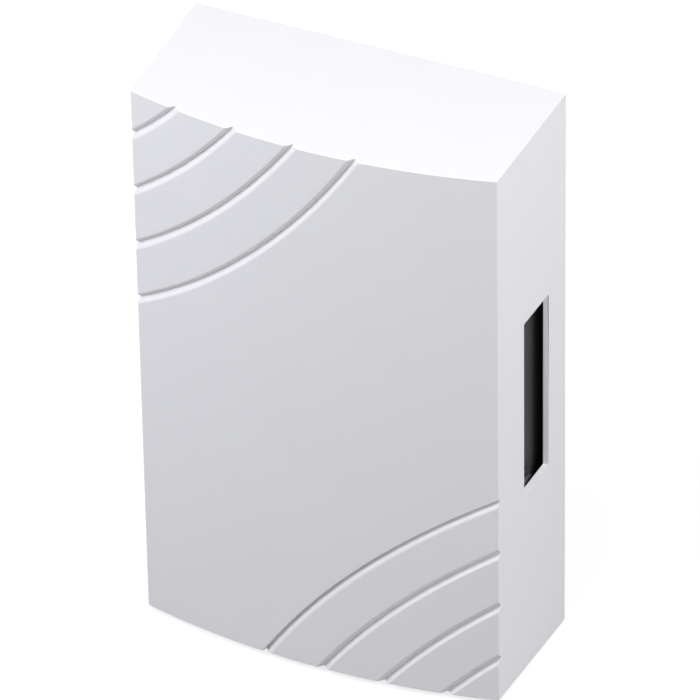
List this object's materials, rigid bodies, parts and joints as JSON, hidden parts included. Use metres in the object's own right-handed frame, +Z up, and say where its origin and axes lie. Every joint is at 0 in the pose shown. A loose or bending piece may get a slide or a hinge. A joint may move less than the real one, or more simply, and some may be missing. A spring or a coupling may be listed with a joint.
{
  "type": "door chime",
  "caption": "Wall door chime: drafted white cover with crowned, arc-grooved face and side sound slots, over a base with coil, spring-returned striker and tone plates.",
  "frame": {"origin": "middle of the back, on the wall plane", "axes": "+X to the right as one faces the chime, +Y into the wall, +Z up"},
  "size_m": [0.1234, 0.0562, 0.2],
  "materials": {
    "cover_white": "fine satin moulding",
    "base_black": "fine spark-eroded moulding",
    "blackened_steel": "oil-blackened sheet",
    "grommet_rubber": "soft matt",
    "natural_nylon": "satin",
    "black_nylon": "satin",
    "bobbin_nylon": "satin",
    "enamelled_copper": "layer-wound enamelled wire",
    "coil_tape": "polyester tape",
    "tube_brass": "drawn",
    "plated_steel": "zinc plated",
    "core_iron": "turned and plated",
    "spring_steel": "drawn wire",
    "block_plastic": "moulded",
    "contact_brass": "stamped",
    "lead_red": "PVC insulation",
    "lead_black": "PVC insulation"
  },
  "bodies": {
    "root": {"base_plate": "base_black", "tone_plate_high": "blackened_steel", "tone_plate_low": "blackened_steel", "high_plate_grommets": "grommet_rubber", "low_plate_grommets": "grommet_rubber", "high_plate_caps": "black_nylon", "low_plate_caps": "black_nylon", "coil_bobbin": "bobbin_nylon", "coil_winding": "enamelled_copper", "coil_tape": "coil_tape", "guide_tube": "tube_brass", "spring_seat": "natural_nylon", "end_bush": "natural_nylon", "coil_frame": "plated_steel", "return_spring": "spring_steel", "frame_screws": "plated_steel", "block_screws": "plated_steel", "terminal_block": "block_plastic", "terminal_contacts": "contact_brass", "clamp_washers": "plated_steel", "terminal_screws": "plated_steel", "coil_lead_left": "lead_red", "coil_lead_right": "lead_black", "cable_grommet": "grommet_rubber"},
    "striker": {"plunger_core": "core_iron", "striker_rod_left": "natural_nylon", "striker_rod_right": "natural_nylon", "stop_clip": "spring_steel"},
    "cover": {"front_cover": "cover_white"}
  },
  "joints": [
    {"name": "plunger_slide", "type": "slide", "parent": "root", "child": "striker", "axis": [1, 0, 0], "range_m": [-0.0027, 0.0087], "stiffness_N_per_m": 40, "deforming": ["return_spring"]},
    {"name": "cover_pull", "type": "slide", "parent": "root", "child": "cover", "axis": [0, -1, 0], "range_m": [0, 0.065]}
  ]
}
